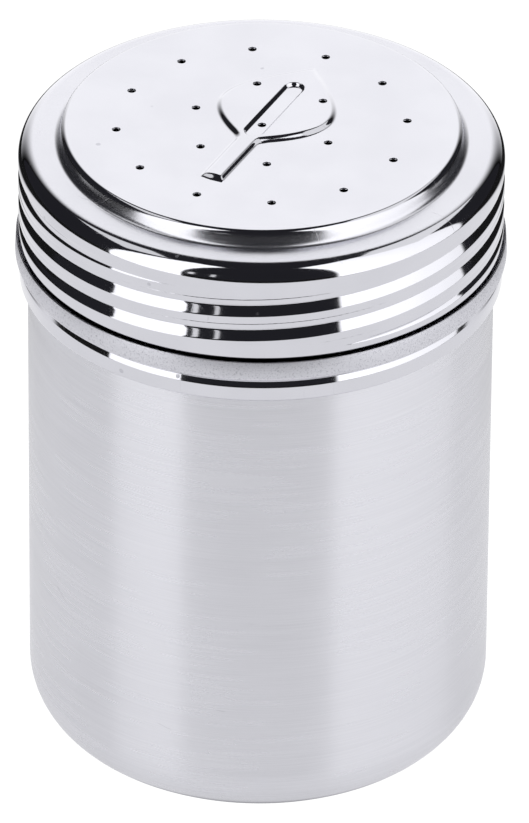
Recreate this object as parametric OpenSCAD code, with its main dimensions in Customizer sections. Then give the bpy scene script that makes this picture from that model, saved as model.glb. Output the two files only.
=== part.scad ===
// Screw-lid spice shaker: a drawn stainless can and a pressed stainless lid.
// Millimetres, +Z up. The origin is the centre of the can's base, on the table.

/* [Can] */
// outside radius of the can's straight wall
can_r = 33.5; // [25:0.5:50]
// height of the can's rim above the table
can_h = 96.2; // [60:0.5:160]
// outside radius of the corner between wall and base
can_corner_r = 9.0; // [3:0.5:14]
// thickness of the can's sheet
can_t = 0.5; // [0.3:0.05:1]
// how far the neck is drawn in from the wall
neck_in = 0.9; // [0.7:0.05:2]
// how far the rolled thread stands out from the neck
neck_thread_out = 0.9; // [0.3:0.05:1.2]

/* [Lid] */
// thickness of the lid's sheet
lid_t = 0.35; // [0.3:0.05:0.6]
// radial gap between the can's wall and the lid's skirt, inside the hem
skirt_gap = 0.15; // [0.1:0.05:1]
// gap between the can's rim and the underside of the lid
rim_gap = 0.15; // [0.05:0.05:0.5]
// height of the lid, from its hem to the trough beside the raised top
lid_h = 22.2; // [19:0.5:40]
// radius of the rounded shoulder
shoulder_r = 2.7; // [1:0.1:5]
// radius of the raised round top
top_r = 28.5; // [20:0.5:40]
// how far the round top stands above the trough
top_rise = 2.3; // [1.5:0.1:6]

/* [Rolled thread] */
// distance from one turn of the thread to the next
thread_pitch = 4.05; // [3.6:0.05:6]
// depth of the thread groove in the skirt
thread_depth = 0.7; // [0.3:0.05:1.2]
// height of the mouth of the thread groove
thread_mouth = 2.0; // [1.6:0.1:2.6]

/* [Hem] */
// height of the folded hem at the bottom of the skirt
hem_h = 6.8; // [5.5:0.1:12]
// how far the hem's upper band stands out from the skirt
band_out = 0.5; // [0.3:0.05:1.5]
// how far the rounded lip stands out from the sheet behind it
lip_out = 0.7; // [0.5:0.05:1.5]
// height of the rounded lip below the hem's groove
lip_h = 2.2; // [1.5:0.1:3]

/* [Perforations] */
// diameter of each hole
hole_d = 1.2; // [0.8:0.1:3]
// radius of the outer ring of twelve holes
outer_ring_r = 20.8; // [16:0.1:24]
// radius of the inner ring of six holes
inner_ring_r = 10.5; // [6:0.1:14]
// angle of the first hole of each ring
ring_turn = 4; // [0:1:30]

/* [Embossed leaf] */
// length of the leaf's blade
leaf_l = 23; // [14:0.5:24]
// width of the leaf's blade
leaf_w = 18; // [10:0.5:20]
// where the blade starts, measured along the leaf from the middle of the lid
leaf_base = -5.5; // [-7:0.1:-3]
// length of the stem below the blade
stem_l = 11; // [4:0.5:12]
// width of the stem
stem_w = 4; // [2:0.1:6]
// length of the groove along the middle of the blade
rib_l = 15; // [8:0.5:17]
// width of that groove, which holds the middle hole
rib_w = 2.2; // [1.6:0.1:3]
// how far the leaf stands above the round top
emboss = 0.5; // [0.2:0.05:1]
// angle of the leaf across the top
leaf_turn = 64; // [0:1:90]

/* [Hidden] */
$fn = 72;
eps = 0.01;

skirt_in = can_r + skirt_gap;          // inside of the skirt, behind the hem
hem_back = skirt_in + lid_t;           // outside of that same sheet
skirt_r = hem_back + 0.8;              // outside of the skirt above the hem
groove_r = skirt_r - thread_depth;     // bottom of the thread groove
neck_r = can_r - neck_in;
neck_thread_r = min(neck_r + neck_thread_out, groove_r - lid_t - 0.2);

trough_z = can_h + rim_gap + lid_t;    // upper face of the trough
top_z = trough_z + top_rise;           // upper face of the round top
lid_z = trough_z - lid_h;              // lowest point of the lid
hem_z = lid_z + hem_h;                 // cut edge of the folded sheet
turn_1 = trough_z - 6.85;              // middle of the upper turn of the groove
turn_2 = turn_1 - thread_pitch;        // middle of the lower turn
neck_z = hem_z - 1.4;                  // where the neck starts

// n + 1 points along an arc, from angle a0 to a1
function arc(r, z, rad, a0, a1, n) =
    [for (i = [0:n]) [r + rad * cos(a0 + (a1 - a0) * i / n),
                      z + rad * sin(a0 + (a1 - a0) * i / n)]];

// unit vector to the right of the line from p to q
function side(p, q) = let (d = (q - p) / norm(q - p)) [d[1], -d[0]];

// where point i of a path goes when the path moves t to its right
function shifted(p, i, t) =
    let (a = side(p[max(i - 1, 0)], p[max(i, 1)]),
         b = side(p[min(i, len(p) - 2)], p[min(i + 1, len(p) - 1)]))
    p[i] + t * (a + b) / (1 + a * b);

// cross-section of a sheet of thickness t whose outer face follows a path
module sheet(path, t) {
    last = len(path) - 1;
    polygon(concat(path, [for (i = [last:-1:0]) shifted(path, i, t)]));
}

// one turn of the groove in the skirt, from its upper to its lower corner
function skirt_turn(z) =
    [[skirt_r, z + thread_mouth / 2],
     [groove_r, z + thread_mouth * 0.31],
     [groove_r, z + thread_mouth * 0.22],
     [skirt_r, z - thread_mouth / 2]];

// a ridge of one thread turn on the neck, from its lower to its upper corner
function neck_turn(z) =
    [[neck_r, z - 1.1],
     [neck_thread_r, z - 0.4],
     [neck_thread_r, z + 0.4],
     [neck_r, z + 1.1]];

// half the width of the leaf's blade at a share t of its length
function blade_half(t) = leaf_w / 2 * sin(180 * pow(t, 0.85));

// the leaf, drawn in by an amount all round
module leaf(inset = 0) {
    steps = 24;
    cut = max(inset, 0.05) / leaf_l;  // share of the length cut off the ends
    edge = [for (i = [0:steps])
        let (t = cut + (1 - 2.4 * cut) * i / steps)
        [leaf_base + leaf_l * t, blade_half(t) - inset]];
    rotate(leaf_turn) {
        polygon(concat(edge, [for (i = [steps:-1:0]) [edge[i][0], -edge[i][1]]]));
        translate([leaf_base - stem_l + inset, inset - stem_w / 2])
            square([stem_l + 3 - inset, stem_w - 2 * inset]);
    }
}

// the groove along the middle of the leaf, wider by an amount all round
module rib(more = 0) {
    rotate(leaf_turn) translate([leaf_base + 2 - more, -rib_w / 2 - more])
        square([rib_l + 2 * more, rib_w + 2 * more]);
}

// places its children at the centre and on both rings of holes
module at_holes() {
    children();
    for (a = [0:60:300]) rotate(a + 30 + ring_turn)
        translate([inner_ring_r, 0]) children();
    for (a = [0:30:330]) rotate(a + ring_turn)
        translate([outer_ring_r, 0]) children();
}

module can() {
    rim = 0.9;  // radius of the rim, rolled inward
    wall = concat(
        [[0, 0]],
        arc(can_r - can_corner_r, can_corner_r, can_corner_r, -90, 0, 8),
        [[can_r, neck_z - 1.2], [neck_r, neck_z]],
        neck_turn(turn_2 + thread_pitch / 2),
        neck_turn(turn_1 + thread_pitch / 2),
        arc(neck_r - rim, can_h - rim, rim, 0, 180, 6));
    color([0.74, 0.74, 0.75])
        rotate_extrude(convexity = 6) sheet(wall, -can_t);
}

module lid() {
    fold = (lip_out - lid_t) / 2;            // inside radius of the bottom fold
    band_r = skirt_r + band_out - lid_t;     // inner face of the hem's band
    groove_z = lid_z + lip_h;                // foot of the groove below the band
    shell = concat(
        // the round top and the wall round it
        [[0, top_z]],
        arc(top_r - 0.8, top_z - 0.8, 0.8, 90, 10, 3),
        arc(top_r + 0.9, trough_z + 0.6, 0.6, 190, 270, 3),
        // the shoulder and the threaded skirt
        arc(skirt_r - shoulder_r, trough_z - shoulder_r, shoulder_r, 90, 0, 6),
        skirt_turn(turn_1),
        skirt_turn(turn_2),
        [[skirt_r, hem_z + 0.9], [hem_back, hem_z - 0.5]],
        // the fold at the bottom, then the lip, groove and band outside it
        arc(hem_back + fold, lid_z + lid_t + fold, fold, 180, 360, 4),
        [[hem_back + 2 * fold, groove_z],
         [hem_back + 0.05, groove_z + 0.8],
         [band_r, groove_z + 1.35],
         [band_r - 0.15, hem_z]]);
    color([0.83, 0.83, 0.84])
        difference() {
            union() {
                rotate_extrude(convexity = 8) sheet(shell, lid_t);
                translate([0, 0, top_z - eps])
                    linear_extrude(emboss + eps)
                        difference() { leaf(); rib(); }
            }
            translate([0, 0, top_z - lid_t - 1])
                linear_extrude(emboss + 1)
                    difference() { leaf(lid_t); rib(lid_t); }
            at_holes()
                translate([0, 0, top_z - 2])
                    cylinder(h = 4, d = hole_d, $fn = 16);
        }
}

can();
lid();
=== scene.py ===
"""Looks of the screw-lid spice shaker: a satin stainless can under a polished lid with an embossed leaf."""

import math

import bmesh
import bpy
from mathutils import Matrix, Vector


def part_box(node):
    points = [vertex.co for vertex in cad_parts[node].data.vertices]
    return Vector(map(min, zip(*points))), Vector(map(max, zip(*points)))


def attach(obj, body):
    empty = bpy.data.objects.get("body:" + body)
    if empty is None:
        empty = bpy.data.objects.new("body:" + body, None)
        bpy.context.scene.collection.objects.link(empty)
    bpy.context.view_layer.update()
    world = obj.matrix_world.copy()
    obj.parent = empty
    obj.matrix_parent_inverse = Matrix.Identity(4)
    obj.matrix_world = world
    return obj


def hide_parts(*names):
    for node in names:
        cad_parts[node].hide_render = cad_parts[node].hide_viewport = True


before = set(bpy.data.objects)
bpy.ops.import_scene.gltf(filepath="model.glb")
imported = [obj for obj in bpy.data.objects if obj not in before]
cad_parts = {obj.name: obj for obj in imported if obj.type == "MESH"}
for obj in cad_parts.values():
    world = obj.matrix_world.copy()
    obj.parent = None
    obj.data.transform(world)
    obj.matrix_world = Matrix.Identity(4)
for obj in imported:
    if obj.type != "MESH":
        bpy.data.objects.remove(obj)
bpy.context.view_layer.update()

MM = 0.001
TAU = 2 * math.pi

# ---------------------------------------------------------------- sizes, in millimetres
CAN_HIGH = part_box("can")[1] / MM
LID_LOW, LID_HIGH = (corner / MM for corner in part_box("lid"))

CAN_R = CAN_HIGH.x  # outside of the can's straight wall
CAN_H = CAN_HIGH.z  # the can's rim
CAN_SHEET = 0.5
CORNER_R = 9.0  # rounding between the wall and the base
NECK_IN = 0.9

LID_SHEET = 0.35
LEAF_UP = 0.5  # how far the leaf stands above the round top
TOP_Z = LID_HIGH.z - LEAF_UP
TOP_RISE = 2.3
FLAT_R = 27.8  # the flat part of the round top
TOP_R = 28.5  # its brow, before rounding
WALL_FOOT_R = 29.1  # foot of the wall below the brow
TROUGH_Z = TOP_Z - TOP_RISE
TROUGH_IN_Z = TROUGH_Z + 0.13  # the trough falls a little, from the wall
TROUGH_OUT_Z = TROUGH_Z - 0.08  # to the shoulder
SHOULDER_Z = TROUGH_Z - 0.2  # where trough and skirt would meet
SHOULDER_R = 2.5
SHOULDER_W = 3.0  # width of the shoulder, from the trough to the skirt

BAND_R = LID_HIGH.x  # the widest part of the hem
SKIRT_R = BAND_R - 0.51  # outside of the skirt
TUCK_R = SKIRT_R - 0.8  # where the skirt tucks in behind the hem
LIP_R = TUCK_R + 0.4  # inner face of the rounded lip
LIP_Z = LID_LOW.z + 0.03  # underside of the lip; its rounded fold comes out this much lower
FOLD_Z = LIP_Z + LID_SHEET  # inside of the fold at the bottom
LIP_TOP_Z = LIP_Z + 2.15
GROOVE_Z = LIP_Z + 3.35  # bottom of the groove above the lip
DULL_Z = LIP_Z + 3.9  # the dull side of the sheet shows from here to the cut edge
BAND_Z = LIP_Z + 4.15  # foot of the band above the groove
CUT_Z = LIP_Z + 6.75  # cut edge of the folded sheet

WALL_TOP_Z = CUT_Z - 2.6  # where the can's wall steps in
NECK_Z = CUT_Z - 1.4  # to the neck, which starts here
RIM_W = 1.6  # width of the can's rim, rolled inwards
RIM_DROP = 0.9  # and how far it comes down inside

THREAD_PITCH = 4.05
THREAD_LEAD = 2 * THREAD_PITCH  # two starts
THREAD_DEPTH = 0.7
THREAD_Z = LIP_Z + 11.3  # middle of one groove at the front
THREAD_LOW = (82.6, 84.3)  # the grooves run in over these heights
THREAD_HIGH = (91.8, 93.5)  # and out over these
GROOVE_HALF = 1.0  # half the height of a groove's mouth
LOWER_FLANK = 1.44  # height of a groove's long lower slope
UPPER_FLANK = 0.38  # and of its short upper one
GROOVE_ROUND = (0.25, 0.2, 0.12)  # rounding where the slopes cross, at the bottom and at the mouth
CREST_DENT = 0.05
CREST_HALF = 0.3  # half the height of the dent along each crest
RIDGE_OUT = 0.8  # how far the neck's own thread stands out
RIDGE_FLANK = (0.2, 1.3)  # it falls away between these distances from its middle

HOLE_R = 0.6
HOLE_FLARE = 0.03  # width of the slope at a hole's edge
HOLE_DIP = 0.02  # and its depth
OUTER_RING = 20.8
INNER_RING = 10.5
RING_TURN = math.radians(4)

LEAF_TURN = math.radians(64)
LEAF_BASE = -5.5  # where the blade starts, along the leaf from the middle of the lid
LEAF_L = 23.0
LEAF_W = 18.0
LEAF_POWER = 0.85  # below 1 brings the widest part nearer the stem
LEAF_SLOPE = 1.15  # width of the slope round the leaf
TIP_DRAW = 1.6  # how much further the tip is drawn in than the sides
STEM_L = 11.0
STEM_W = 4.0
STEM_JOIN = 1.2  # rounding where the stem runs into the blade
STEM_CORNER = 0.35
RIB_START = LEAF_BASE + 2
RIB_L = 15.0
RIB_W = 2.2
RIB_SLOPE = 0.5
RIB_FLOOR_Z = TOP_Z + 0.03
RIB_HOLES = 0.7  # share of the blade's length in which a hole may lie in the rib

COLUMNS = 256  # steps of each turned shape
SKIRT_ROWS = 130  # cuts in the outside of the threaded skirt
SKIRT_BACK_ROWS = 40  # and in its inside
NECK_ROWS = 70  # and in both faces of the neck
LONG_EDGE = 3  # only edges longer than this are cut
FINE_ROUND = 1.5  # roundings smaller than this have fewer segments
HOLE_STEPS = 20
LEAF_STEPS = 144
RIB_STEPS = 56
SAME_PLACE = 0.0005  # points closer than this are merged
MARGIN = 0.2  # how far past a sheet's inner face its points are looked for

# ---------------------------------------------------------------- finishes
HAZE_IN = (28.3, 28.9)  # the trough's haze comes in over these radii, in millimetres
HAZE_OUT = (33.5, 32.2)  # fades out over these
HAZE_UP = (94.5, 95.8)  # and comes in over these heights
FOOT_SHADE_UP = (3.4, 1.8)  # painted shade: the can's foot darkens over these heights, where the shadow under the can would reflect

LINE_ALONG = 60  # scale of brushed lines and scratches along their length
SCRATCH_ACROSS = 5200

# depth of each finish's relief, in metres
POLISHED_RELIEF = 0.0000025
DULL_RELIEF = 0.00001
PUNCHED_RELIEF = 0.00002
SATIN_RELIEF = 0.0000016

# ---------------------------------------------------------------- studio, in metres
WHITE = (1, 1, 1, 1)
PANEL_D = 0.46  # how far away the light panels stand
TABLE_HALF = 20
TABLE_R = 0.45  # how far the white table reaches in reflections
TABLE_FADE = 0.02
TABLE_BEHIND = (0.12, 0.17)  # it darkens over these distances behind the shaker
TABLE_BESIDE = (0.05, 0.1)  # most of all past these distances beside the middle
MIDDLE_DARK = 0.35  # how dark it is behind the middle
GLOW_SHARE = 0.75  # share of the table's look that is its own even light
CAMERA_SHARE = 0.85  # share that the camera sees as plain bright white
SHADOW_UNDER_CAN = (0.0305, 0.0275)  # and it darkens over these radii under the can: a painted shadow, seen in reflections


# ---------------------------------------------------------------- shader nodes
class Signal:
    """A socket in a node tree. Python's operators on it add Math nodes."""

    def __init__(self, graph, socket):
        self.graph = graph
        self.socket = socket

    def math(self, operation, *values):
        return self.graph.add("ShaderNodeMath", {"operation": operation}, dict(enumerate(values)))

    def out(self, name):
        """Another output of the same node."""
        return Signal(self.graph, self.socket.node.outputs[name])

    def __add__(self, other):
        return self.math("ADD", self, other)

    def __radd__(self, other):
        return self.math("ADD", other, self)

    def __sub__(self, other):
        return self.math("SUBTRACT", self, other)

    def __rsub__(self, other):
        return self.math("SUBTRACT", other, self)

    def __mul__(self, other):
        return self.math("MULTIPLY", self, other)

    def __rmul__(self, other):
        return self.math("MULTIPLY", other, self)

    def __truediv__(self, other):
        return self.math("DIVIDE", self, other)

    def __rtruediv__(self, other):
        return self.math("DIVIDE", other, self)

    def __pow__(self, other):
        return self.math("POWER", self, other)

    def __rpow__(self, other):
        return self.math("POWER", other, self)

    def __abs__(self):
        return self.math("ABSOLUTE", self)

    def above(self, limit):
        """1 where the value is over the limit, and 0 elsewhere."""
        return self.math("GREATER_THAN", self, limit)

    def higher(self, other):
        """The higher of two values."""
        return self.math("MAXIMUM", self, other)

    def step(self, low, high):
        """0 below low, 1 above high and a smooth step between them; high may be the lower one."""
        settings = {"interpolation_type": "SMOOTHSTEP"}
        inputs = {"Value": self, "From Min": low, "From Max": high}
        return self.graph.add("ShaderNodeMapRange", settings, inputs)


class Graph:
    """The nodes of one material, or of the world."""

    def __init__(self, owner):
        owner.use_nodes = True
        self.tree = owner.node_tree
        self.tree.nodes.clear()

    def add(self, kind, settings=None, inputs=None, out=0):
        """Adds a node, sets it up, gives its sockets their values or links, and returns one output."""
        node = self.tree.nodes.new(kind)
        for name, value in (settings or {}).items():
            setattr(node, name, value)
        for name, value in (inputs or {}).items():
            if isinstance(value, Signal):
                self.tree.links.new(value.socket, node.inputs[name])
            else:
                node.inputs[name].default_value = value
        return Signal(self, node.outputs[out]) if node.outputs else None

    def place(self):
        """Object coordinates, in metres."""
        return self.add("ShaderNodeTexCoord", out="Object")

    def parts(self, vector):
        """The x, y and z of a vector."""
        x = self.add("ShaderNodeSeparateXYZ", inputs={0: vector})
        return x, x.out("Y"), x.out("Z")

    def vector(self, x, y, z):
        return self.add("ShaderNodeCombineXYZ", inputs={0: x, 1: y, 2: z})

    def stretched(self, vector, scale, turn=(0, 0, 0), shift=(0, 0, 0)):
        """Coordinates that are scaled, then turned, then shifted."""
        inputs = {"Vector": vector, "Scale": scale, "Rotation": turn, "Location": shift}
        return self.add("ShaderNodeMapping", inputs=inputs)

    def noise(self, vector, scale, detail=2.0, rough=0.5):
        inputs = {"Vector": vector, "Scale": scale, "Detail": detail, "Roughness": rough}
        return self.add("ShaderNodeTexNoise", inputs=inputs)

    def mix(self, amount, first, second):
        """A colour between two others."""
        return self.add("ShaderNodeMix", {"data_type": "RGBA"}, {0: amount, 6: first, 7: second}, out=2)


def grey(value, blue=0.045):
    """A neutral metal grey with a slight cold tint."""
    return (value, value, value + blue, 1.0)


def metres(sizes):
    """Sizes in millimetres, as materials need them."""
    return [size * MM for size in sizes]


def from_axis(x, y):
    """Distance from the shaker's axis."""
    return (x * x + y * y) ** 0.5


def rings(graph, place, across):
    """Fine lines round the axis: long round the shaker, and very close together across it."""
    x, y, z = graph.parts(place)
    return graph.vector(x * LINE_ALONG, y * LINE_ALONG, (from_axis(x, y) - z) * across)


def scratches(graph, place, turn, shift, limit):
    """Thin straight scratches, all in one direction: the higher the limit, the fewer."""
    turned = graph.stretched(place, (1, 1, 1), turn, shift)
    line = graph.stretched(turned, (LINE_ALONG, SCRATCH_ACROSS, LINE_ALONG))
    streak = graph.noise(line, scale=1.0, detail=1.0).step(limit, limit + 0.03)
    broken = graph.noise(turned, scale=260.0, detail=1.0)
    return streak * broken.step(0.55, 0.62)


def specks(graph, place, scale, size, share):
    """Tiny round specks: the centres of a share of the cells."""
    cells = graph.add("ShaderNodeTexVoronoi", inputs={"Vector": place, "Scale": scale}, out="Distance")
    red = graph.add("ShaderNodeSeparateColor", inputs={0: cells.out("Color")})
    return cells.step(size, size * 0.6) * red.above(1 - share)


def metal(name, build, **constants):
    """A metal. build(graph, place) gives its colour, its roughness, its relief and how deep that is."""
    material = bpy.data.materials.new(name)
    graph = Graph(material)
    color, roughness, height, depth = build(graph, graph.place())
    bump = graph.add("ShaderNodeBump", inputs={"Height": height, "Strength": 1.0, "Distance": depth})
    inputs = {"Base Color": color, "Roughness": roughness, "Metallic": 1.0, "Normal": bump, **constants}
    surface = graph.add("ShaderNodeBsdfPrincipled", inputs=inputs)
    graph.add("ShaderNodeOutputMaterial", inputs={"Surface": surface})
    return material


def polished_finish(graph, place):
    """Buffed mirror steel, hazier in the trough where the buff can't reach."""
    x, y, z = graph.parts(place)
    radius = from_axis(x, y)
    trough = radius.step(*metres(HAZE_IN)) * radius.step(*metres(HAZE_OUT)) * z.step(*metres(HAZE_UP))
    cloud = graph.noise(place, scale=90.0, detail=3.0)
    lines = graph.noise(rings(graph, place, across=9000), scale=1.0, detail=2.0, rough=0.6)
    grain = graph.noise(place, scale=5200.0, detail=2.0, rough=0.6)
    marks = scratches(graph, place, turn=(0, 0, 0.6), shift=(0.3, 0.1, 0), limit=0.74)
    marks = marks + scratches(graph, place, turn=(0, 0, 2.1), shift=(0.7, 0.4, 0), limit=0.75)
    dots = specks(graph, place, scale=260.0, size=0.12, share=0.12)
    color = graph.mix(cloud.step(0.3, 0.7), grey(0.62), grey(0.65))
    color = graph.mix((marks * 0.3 + dots * 0.6) * 0.6, color, grey(0.32))
    rough = 0.045 + cloud * 0.03 + trough * (0.1 + grain * 0.14) + marks * 0.1 + dots * 0.2
    height = lines * 0.35 + trough * grain * 1.2 - marks * 0.8 - dots * 1.0
    return color, rough, height, POLISHED_RELIEF


def dull_finish(graph, place):
    """The unpolished inner side of the sheet, with a fine pitted mill surface."""
    pits = graph.noise(place, scale=4200.0, detail=3.0, rough=0.7)
    cloud = graph.noise(place, scale=150.0, detail=2.0)
    lines = graph.noise(rings(graph, place, across=5000), scale=1.0, detail=2.0, rough=0.6)
    dark = pits.step(0.53, 0.66)
    color = graph.mix(dark, grey(0.62), grey(0.42))
    color = graph.mix(lines.step(0.45, 0.75) * 0.4, color, grey(0.5))
    rough = 0.3 + cloud * 0.12 + dark * 0.15
    return color, rough, pits + lines * 0.4, DULL_RELIEF


def painted_shade_hole_finish(graph, place):
    """Torn steel inside a punched hole, coloured near black as painted shade in the hole."""
    tears = graph.noise(place, scale=9000.0, detail=2.0)
    # painted shade: the hole's walls are coloured near black for the shade inside the hole
    color = graph.mix(tears, grey(0.01, blue=0.001), grey(0.035, blue=0.002))
    return color, 0.45 + tears * 0.2, tears, PUNCHED_RELIEF


def satin_finish(graph, place):
    """Satin steel brushed round the can, with a line of painted shade at its foot."""
    z = graph.parts(place)[2]
    cloud = graph.noise(place, scale=45.0, detail=3.0)
    lines = graph.noise(rings(graph, place, across=7000), scale=1.0, detail=3.0, rough=0.65)
    broad = graph.noise(rings(graph, place, across=900), scale=1.0, detail=2.0)
    marks = scratches(graph, place, turn=(1.0, 0.3, 0), shift=(0.2, 0.6, 0), limit=0.77)
    dots = specks(graph, place, scale=110.0, size=0.06, share=0.1)
    color = graph.mix(lines.step(0.3, 0.7), grey(0.675), grey(0.715))
    color = graph.mix((marks + dots) * 0.5, color, grey(0.3))
    # painted shade along the foot, standing in for the reflected shadow under the can
    color = graph.mix(z.step(*metres(FOOT_SHADE_UP)) * 0.7, color, grey(0.2))
    rough = 0.28 + (cloud - 0.5) * 0.07 + (broad - 0.5) * 0.06 + marks * 0.08
    height = lines * 0.8 + broad * 0.5 - marks * 1.5 - dots * 2.0
    return color, rough, height, SATIN_RELIEF


polished_steel = metal("polished_steel", polished_finish)
dull_steel = metal("dull_inner_steel", dull_finish)
hole_steel_painted_shade = metal("hole_steel_painted_shade", painted_shade_hole_finish)
satin_steel = metal("satin_steel", satin_finish, Anisotropic=0.95, **{"Anisotropic Rotation": 0.25})


# ---------------------------------------------------------------- turned sheet metal
def section(bm, corners):
    """An open outline of (radius, height, rounding) corners, in millimetres, ready to be turned."""
    points = [bm.verts.new((r, 0, z)) for r, z, _ in corners]
    for start, end in zip(points, points[1:]):
        bm.edges.new((start, end))
    for point, (_, _, rounding) in zip(points, corners):
        if rounding:
            bmesh.ops.bevel(
                bm,
                geom=[point],
                offset=rounding,
                offset_type="OFFSET",
                segments=6 if rounding < FINE_ROUND else 16,
                profile=0.5,
                affect="VERTICES",
                material=-1,
            )


def turn(bm):
    """Spins everything drawn so far round the axis into a shell."""
    geometry = bm.verts[:] + bm.edges[:]
    axis, centre = (0, 0, 1), (0, 0, 0)
    bmesh.ops.spin(bm, geom=geometry, axis=axis, cent=centre, angle=TAU, steps=COLUMNS, use_merge=True)
    bmesh.ops.remove_doubles(bm, verts=bm.verts, dist=SAME_PLACE)


def refine(bm, low, high, cuts, on_wall):
    """Cuts a wall's long upright edges where their middles lie between two heights.

    on_wall tells from its radius whether an edge lies on that wall.
    """
    def upright(edge):
        start, end = (vert.co for vert in edge.verts)
        inside = low < (start.z + end.z) / 2 < high
        return inside and abs(start.z - end.z) > LONG_EDGE and on_wall(start.xy.length)
    edges = [edge for edge in bm.edges if upright(edge)]
    bmesh.ops.subdivide_edges(bm, edges=edges, cuts=cuts, use_grid_fill=True)


def smooth_step(value, low, high):
    """0 up to low, 1 from high on and a smooth step between them."""
    share = min(max((value - low) / (high - low), 0.0), 1.0)
    return share * share * (3 - 2 * share)


def soft_min(a, b, blend):
    """The lower of a and b, with the corner between them rounded."""
    share = max(blend - abs(a - b), 0.0) / blend
    return min(a, b) - share * share * blend / 4


def groove(up):
    """Depth of the thread groove, from its height above the middle of the groove."""
    crossing, bottom, mouth = GROOVE_ROUND
    lower_flank = (up + GROOVE_HALF) / LOWER_FLANK
    upper_flank = (GROOVE_HALF - up) / UPPER_FLANK
    depth = soft_min(soft_min(lower_flank, upper_flank, crossing), 1.0, bottom)
    return THREAD_DEPTH * -soft_min(-depth, 0.0, mouth)


def thread_place(vert):
    """Height above the middle of the nearest groove, and how much of the thread is there."""
    azimuth = math.atan2(vert.co.x, -vert.co.y)
    up = vert.co.z - THREAD_Z - THREAD_LEAD * azimuth / TAU
    up = (up + THREAD_PITCH / 2) % THREAD_PITCH - THREAD_PITCH / 2
    return up, smooth_step(vert.co.z, *THREAD_LOW) * (1 - smooth_step(vert.co.z, *THREAD_HIGH))


def push(vert, inward):
    """Moves a point towards the axis."""
    radius = vert.co.xy.length
    vert.co.xy *= (radius - inward) / radius


def groove_thread(vert):
    """Presses the two-start thread into a point of the lid's skirt, fading at both ends."""
    up, fade = thread_place(vert)
    crest = abs(abs(up) - THREAD_PITCH / 2)
    dent = CREST_DENT * max(0.0, 1 - (crest / CREST_HALF) ** 2)
    push(vert, (groove(up) + dent) * fade)


def ridge_thread(vert):
    """Rolls the matching ridge out of a point of the can's neck, halfway between the grooves."""
    up, fade = thread_place(vert)
    off = abs(abs(up) - THREAD_PITCH / 2)
    push(vert, -RIDGE_OUT * (1 - smooth_step(off, *RIDGE_FLANK)) * fade)


def mesh_object(name, bm, materials):
    """Makes an object of the scene from a bmesh, which it frees."""
    mesh = bpy.data.meshes.new(name)
    bm.to_mesh(mesh)
    bm.free()
    for material in materials:
        mesh.materials.append(material)
    piece = bpy.data.objects.new(name, mesh)
    bpy.context.scene.collection.objects.link(piece)
    return piece


def finished(name, bm, materials):
    """Scales a piece to metres and makes it an object with smooth shading."""
    bmesh.ops.scale(bm, vec=(MM, MM, MM), verts=bm.verts)
    for face in bm.faces:
        face.smooth = True
    piece = mesh_object(name, bm, materials)
    weigh = piece.modifiers.new("flat_faces_stay_flat", "WEIGHTED_NORMAL")
    weigh.keep_sharp = True
    return piece


# ---------------------------------------------------------------- the lid's round top
def closed_ring(bm, count, x=0.0, y=0.0, z=0.0, radius=1.0):
    """Points and edges round a circle."""
    matrix = Matrix.Translation((x, y, z))
    return bmesh.ops.create_circle(bm, cap_ends=False, segments=count, radius=radius, matrix=matrix)["verts"]


def edges_of(verts):
    """The edges that run round a ring."""
    ring = set(verts)
    return list({edge for vert in verts for edge in vert.link_edges if edge.other_vert(vert) in ring})


def flat(bm, rings_of_verts):
    """Fills the flat metal between an outer ring and the rings inside it, with sharp borders."""
    edges = [edge for verts in rings_of_verts for edge in edges_of(verts)]
    for edge in edges:
        edge.smooth = False
    bmesh.ops.triangle_fill(bm, use_beauty=True, use_dissolve=False, edges=edges, normal=(0, 0, 1))


def slopes(bm, draw, levels):
    """Joins rings drawn at several (height, inset) levels and returns the first and the last ring."""
    made = [draw(bm, height, inset) for height, inset in levels]
    for low, high in zip(made, made[1:]):
        bmesh.ops.bridge_loops(bm, edges=edges_of(low) + edges_of(high))
    return made[0], made[-1]


def rounded_slope(low, high, width, steps=8):
    """Levels of a slope that starts and ends level and is straight in the middle."""
    level = 1 / 6  # share of the width before the straight part
    steepness = 1.5
    bend = 0.35
    levels = []
    for k in range(steps + 1):
        share = k / steps
        ramp = steepness * (share - level)
        rise = soft_min(1.0, -soft_min(-ramp, 0.0, bend), bend)
        levels.append((low + (high - low) * rise, width * share))
    levels[0] = (low, 0.0)
    levels[-1] = (high, width)
    return levels


def hole_places():
    """The middle hole, the six of the inner ring and the twelve of the outer ring."""
    places = [(0.0, 0.0)]
    for count, radius, first in ((6, INNER_RING, TAU / 12), (12, OUTER_RING, 0.0)):
        for k in range(count):
            angle = RING_TURN + first + TAU * k / count
            places.append((radius * math.cos(angle), radius * math.sin(angle)))
    return places


def hole(bm, x, y, height):
    """A punched hole with a slightly rounded edge. Returns its outer ring."""
    def draw(bm, height, grow):
        return closed_ring(bm, HOLE_STEPS, x, y, height, HOLE_R + grow)
    return slopes(bm, draw, [(height - HOLE_DIP, 0.0), (height, HOLE_FLARE)])[1]


def blade_half(share):
    """Half the width of the blade at a share of its length."""
    return LEAF_W / 2 * math.sin(math.pi * min(max(share, 0.0), 1.0) ** LEAF_POWER)


def leaf_point(along, across):
    """A point of the lid, from its place along and across the leaf."""
    return Matrix.Rotation(LEAF_TURN, 2) @ Vector((along, across))


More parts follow.
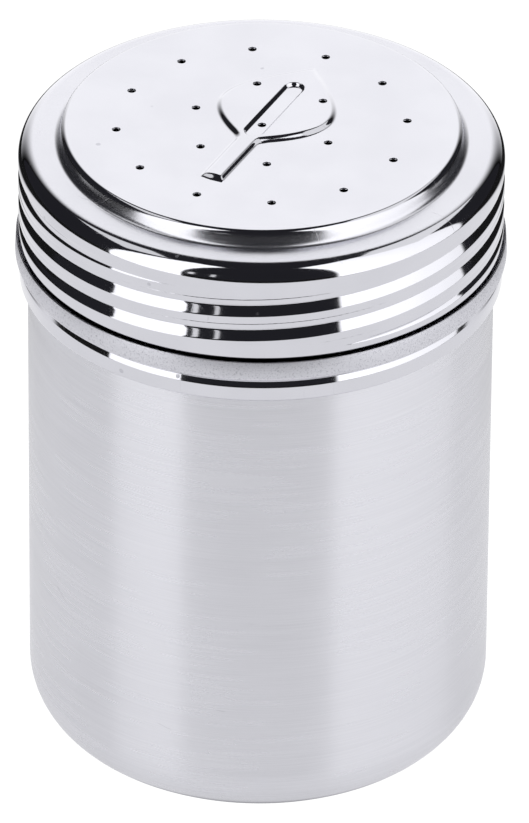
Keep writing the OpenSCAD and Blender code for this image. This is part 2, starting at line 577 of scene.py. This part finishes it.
def leaf_ring(bm, height, inset):
    """The outline of blade and stem, drawn in by an amount all round."""
    verts = closed_ring(bm, LEAF_STEPS)
    foot = LEAF_BASE - STEM_L
    tip = LEAF_BASE + LEAF_L
    first = foot + inset
    last = tip - TIP_DRAW * inset
    stem = STEM_W / 2 - inset
    narrowing = math.pi * LEAF_W / 2 / LEAF_L
    for vert in verts:
        along = first + (last - first) * (vert.co.x + 1) / 2
        share = (along - LEAF_BASE) / LEAF_L
        steep = math.hypot(1.0, narrowing * math.cos(math.pi * max(share, 0.0) ** LEAF_POWER))
        half = blade_half(share) - inset * steep
        if along < LEAF_BASE + 0.5 * LEAF_L:
            half = -soft_min(-half, -stem, STEM_JOIN)
        if along - first < STEM_CORNER:
            rest = STEM_CORNER - along + first
            half -= STEM_CORNER - math.sqrt(max(STEM_CORNER**2 - rest**2, 0.0))
        if abs(vert.co.y) < 1e-6:
            half = 0.0
        vert.co.xy = leaf_point(along, math.copysign(max(half, 0.0), vert.co.y))
        vert.co.z = height
    return verts


def rib_ring(bm, height, inset):
    """The outline of the groove along the leaf, a slot with round ends."""
    verts = closed_ring(bm, RIB_STEPS)
    half = RIB_W / 2 + RIB_SLOPE - inset
    middle = RIB_START + RIB_L / 2
    straight = RIB_L / 2 + RIB_SLOPE - inset - half
    for vert in verts:
        end = math.copysign(straight, vert.co.x) if abs(vert.co.x) > 1e-6 else 0.0
        vert.co.xy = leaf_point(middle + end + vert.co.x * half, vert.co.y * half)
        vert.co.z = height
    return verts


def round_top(bm, edge):
    """The flat round top, its holes, and the raised leaf with a groove along it."""
    on_top, on_leaf, in_rib = [], [], []
    for x, y in hole_places():
        along, across = Matrix.Rotation(-LEAF_TURN, 2) @ Vector((x, y))
        share = (along - LEAF_BASE) / LEAF_L
        if abs(across) < RIB_W / 2 and 0 < share < RIB_HOLES:
            in_rib.append(hole(bm, x, y, RIB_FLOOR_Z))
        elif 0 < share < 1 and abs(across) < blade_half(share) - LEAF_SLOPE:
            on_leaf.append(hole(bm, x, y, TOP_Z + LEAF_UP))
        else:
            on_top.append(hole(bm, x, y, TOP_Z))
    leaf_z = TOP_Z + LEAF_UP
    foot, brow = slopes(bm, leaf_ring, rounded_slope(TOP_Z, leaf_z, LEAF_SLOPE))
    rib_brow, rib_floor = slopes(bm, rib_ring, rounded_slope(leaf_z, RIB_FLOOR_Z, RIB_SLOPE))
    flat(bm, [edge, foot, *on_top])
    flat(bm, [brow, rib_brow, *on_leaf])
    flat(bm, [rib_floor, *in_rib])


# ---------------------------------------------------------------- the two pieces
def threaded(vert, inner_face):
    """Whether a point lies on a sheet with this inner face, at the height of the thread."""
    return THREAD_LOW[0] < vert.co.z < THREAD_HIGH[1] and vert.co.xy.length > inner_face - MARGIN


def make_lid():
    """One pressed sheet, from the round top over the threaded skirt to the folded hem."""
    bm = bmesh.new()
    section(bm, [
        (FLAT_R, TOP_Z, 0),
        (TOP_R, TOP_Z, 0.68),
        (WALL_FOOT_R, TROUGH_IN_Z, 0.65),
        (SKIRT_R - SHOULDER_W, TROUGH_OUT_Z, 0.5),
        (SKIRT_R, SHOULDER_Z, SHOULDER_R),
        # the skirt, which tucks in behind the hem
        (SKIRT_R, CUT_Z + 0.6, 0.25),
        (TUCK_R, CUT_Z - 0.5, 0.4),
        # the fold, and up again along the inner face of the lip, groove and band
        (TUCK_R, FOLD_Z, 0.17),
        (LIP_R, FOLD_Z, 0.17),
        (LIP_R + 0.02, LIP_TOP_Z, 0.3),
        (TUCK_R + 0.02, GROOVE_Z, 0.25),
        (BAND_R - LID_SHEET, BAND_Z, 0.15),
        (BAND_R - LID_SHEET - 0.15, CUT_Z, 0),
    ])
    turn(bm)
    edge = [v for v in bm.verts if abs(v.co.z - TOP_Z) < 1e-4 and abs(v.co.xy.length - FLAT_R) < 1e-3]
    round_top(bm, edge)
    bmesh.ops.remove_doubles(bm, verts=bm.verts, dist=SAME_PLACE)
    bmesh.ops.recalc_face_normals(bm, faces=bm.faces)
    bmesh.ops.solidify(bm, geom=bm.faces[:], thickness=LID_SHEET)
    between_faces = SKIRT_R - LID_SHEET / 2
    low, high = THREAD_LOW[0] - 2, THREAD_HIGH[1]
    refine(bm, low, high, SKIRT_ROWS, lambda radius: radius > between_faces)
    refine(bm, low, high, SKIRT_BACK_ROWS, lambda radius: radius < between_faces)
    for vert in bm.verts:
        if threaded(vert, SKIRT_R - LID_SHEET):
            groove_thread(vert)
    for face in bm.faces:
        centre = face.calc_center_median()
        radius = centre.xy.length
        faces_down = face.normal.z < -0.9
        upright = abs(face.normal.z) < 0.4
        if radius > LIP_R + 0.05 and DULL_Z < centre.z < CUT_Z + 0.1 and not faces_down:
            face.material_index = 1
        # the upright walls of the holes get the painted shade
        elif radius < OUTER_RING + 2 * HOLE_R and upright:
            face.material_index = 2
    return finished("lid_shell", bm, [polished_steel, dull_steel, hole_steel_painted_shade])


def make_can():
    """One drawn cup with a threaded neck and a rim rolled inwards."""
    bm = bmesh.new()
    neck = CAN_R - NECK_IN
    section(bm, [
        (0, 0, 0),
        (CAN_R, 0, CORNER_R),
        # the wall steps in to the neck
        (CAN_R, WALL_TOP_Z, 0.4),
        (neck, NECK_Z, 0.4),
        # the rim, rolled inwards
        (neck, CAN_H, 0.6),
        (neck - RIM_W, CAN_H, 0.6),
        (neck - RIM_W, CAN_H - RIM_DROP, 0),
    ])
    turn(bm)
    bmesh.ops.recalc_face_normals(bm, faces=bm.faces)
    bmesh.ops.solidify(bm, geom=bm.faces[:], thickness=CAN_SHEET)
    refine(bm, NECK_Z, CAN_H, NECK_ROWS, lambda radius: radius > neck - CAN_SHEET - MARGIN)
    for vert in bm.verts:
        if threaded(vert, neck - CAN_SHEET):
            ridge_thread(vert)
    return finished("can_shell", bm, [satin_steel])


lid = make_lid()
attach(lid, "lid")
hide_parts("lid")

can = make_can()
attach(can, "can")
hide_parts("can")


# ---------------------------------------------------------------- the studio
def glow(name, left, right, soft, width):
    """A panel's light, from left to right along it, fading out over a soft share of its half width."""
    material = bpy.data.materials.new(name)
    graph = Graph(material)
    x = graph.parts(graph.place())[0]
    strength = left + (right - left) * (x / width + 0.5)
    if soft:
        strength = strength * abs(x).step(width / 2, width / 2 * (1.0 - soft))
    light = graph.add("ShaderNodeEmission", inputs={"Color": WHITE, "Strength": strength})
    graph.add("ShaderNodeOutputMaterial", inputs={"Surface": light})
    return material


def panel(name, azimuth, spread, low, high, brightness, far_end=None, soft=0.0):
    """An upright light panel that stands round the shaker, with all angles in degrees.

    Azimuth 0 is the front and 90 the right. Its spread is seen from the axis, its low and high edges
    from the lid. far_end is its brightness at the end away from the front, where that differs.
    """
    width = 2 * PANEL_D * math.tan(math.radians(spread / 2))
    bottom = max(CAN_H * MM + PANEL_D * math.tan(math.radians(low)), 0.0)
    top = CAN_H * MM + PANEL_D * math.tan(math.radians(high))
    ends = (brightness, far_end or brightness)
    if azimuth < 0:
        ends = ends[::-1]
    bm = bmesh.new()
    bmesh.ops.create_grid(bm, x_segments=1, y_segments=1, size=0.5)
    bmesh.ops.scale(bm, vec=(width, top - bottom, 1), verts=bm.verts)
    sheet = mesh_object(name, bm, [glow(name, *ends, soft, width)])
    turn_to = math.radians(azimuth)
    sheet.location = (PANEL_D * math.sin(turn_to), -PANEL_D * math.cos(turn_to), (bottom + top) / 2)
    sheet.rotation_euler = (math.radians(90), 0, turn_to)
    sheet.visible_camera = False
    sheet.visible_diffuse = False
    sheet.visible_shadow = False


# azimuth, spread, low edge, high edge, brightness
panel("softbox_left", -51, 34, -15, 73, 1.8, far_end=1.6)
panel("softbox_right", 65, 66, -15, 73, 1.8, far_end=1.3, soft=0.08)
panel("high_left", -103, 54, 50, 68, 0.95, soft=0.2)
panel("high_right", 107, 72, 42, 68, 1.05, soft=0.2)
panel("lamp_left", -30, 2.5, 8, 19, 1.0)
panel("lamp_right", -20.5, 2, 8, 22, 0.9)
panel("backdrop", 180, 86, -15, 54, 1.32, soft=0.7)


def make_table():
    """A plain white table, dark in reflections past its edge and partly behind the can, with a painted
    shadow under the can in reflections.
    """
    material = bpy.data.materials.new("white_table")
    graph = Graph(material)
    x, y, _ = graph.parts(graph.place())
    radius = from_axis(x, y)
    past_edge = radius.step(TABLE_R - TABLE_FADE, TABLE_R + TABLE_FADE)
    beside = abs(x).step(*TABLE_BESIDE)
    behind = y.step(*TABLE_BEHIND) * (beside * (1 - MIDDLE_DARK) + MIDDLE_DARK)
    # dark in reflections past the edge and behind the shaker, plus a painted shadow under the can
    unlit = past_edge.higher(behind).higher(radius.step(*SHADOW_UNDER_CAN))
    ray = graph.add("ShaderNodeLightPath", out="Is Camera Ray")
    paint = graph.add("ShaderNodeBsdfDiffuse", inputs={"Color": (0.92, 0.92, 0.93, 1)})
    even = graph.add("ShaderNodeEmission", inputs={"Color": WHITE, "Strength": 1.0})
    bright = graph.add("ShaderNodeEmission", inputs={"Color": WHITE, "Strength": 1.1})
    dark = graph.add("ShaderNodeBsdfDiffuse", inputs={"Color": (0.01, 0.01, 0.01, 1)})
    lit = graph.add("ShaderNodeMixShader", inputs={0: GLOW_SHARE, 1: paint, 2: even})
    seen = graph.add("ShaderNodeMixShader", inputs={0: unlit * ray.out("Is Glossy Ray"), 1: lit, 2: dark})
    seen = graph.add("ShaderNodeMixShader", inputs={0: ray * CAMERA_SHARE, 1: seen, 2: bright})
    graph.add("ShaderNodeOutputMaterial", inputs={"Surface": seen})
    bm = bmesh.new()
    bmesh.ops.create_grid(bm, x_segments=1, y_segments=1, size=TABLE_HALF)
    table = mesh_object("table", bm, [material])


def light_room():
    """White to the camera and to the table, a dark room to the shaker's mirror faces."""
    world = bpy.data.worlds.new("studio")
    bpy.context.scene.world = world
    graph = Graph(world)
    ray = graph.add("ShaderNodeLightPath", out="Is Glossy Ray")
    color = graph.mix(ray, (1.12, 1.12, 1.12, 1), (0.02, 0.02, 0.024, 1))
    sky = graph.add("ShaderNodeBackground", inputs={"Color": color, "Strength": 1.0})
    graph.add("ShaderNodeOutputWorld", inputs={"Surface": sky})
    bpy.context.scene.view_settings.view_transform = "Standard"


def make_camera():
    """A long lens from the front, looking down at the shaker."""
    distance = 1.675
    elevation = math.radians(33.23)
    yaw = math.radians(0.028)
    roll = math.radians(0.44)
    aim = Vector((0, 0, 0.05017))
    data = bpy.data.cameras.new("camera")
    data.lens = 505.6
    data.sensor_width = 36
    camera = bpy.data.objects.new("camera", data)
    bpy.context.scene.collection.objects.link(camera)
    level = math.cos(elevation)
    forward = Vector((math.sin(yaw) * level, math.cos(yaw) * level, -math.sin(elevation)))
    right = Vector((math.cos(yaw), -math.sin(yaw), 0))
    up = right.cross(forward)
    turned_right = right * math.cos(roll) + up * math.sin(roll)
    turned_up = up * math.cos(roll) - right * math.sin(roll)
    camera.location = aim - Vector((0, level, -math.sin(elevation))) * distance
    axes = Matrix((turned_right, turned_up, -forward)).transposed()
    camera.rotation_euler = axes.to_euler()
    bpy.context.scene.camera = camera


make_table()
light_room()
make_camera()
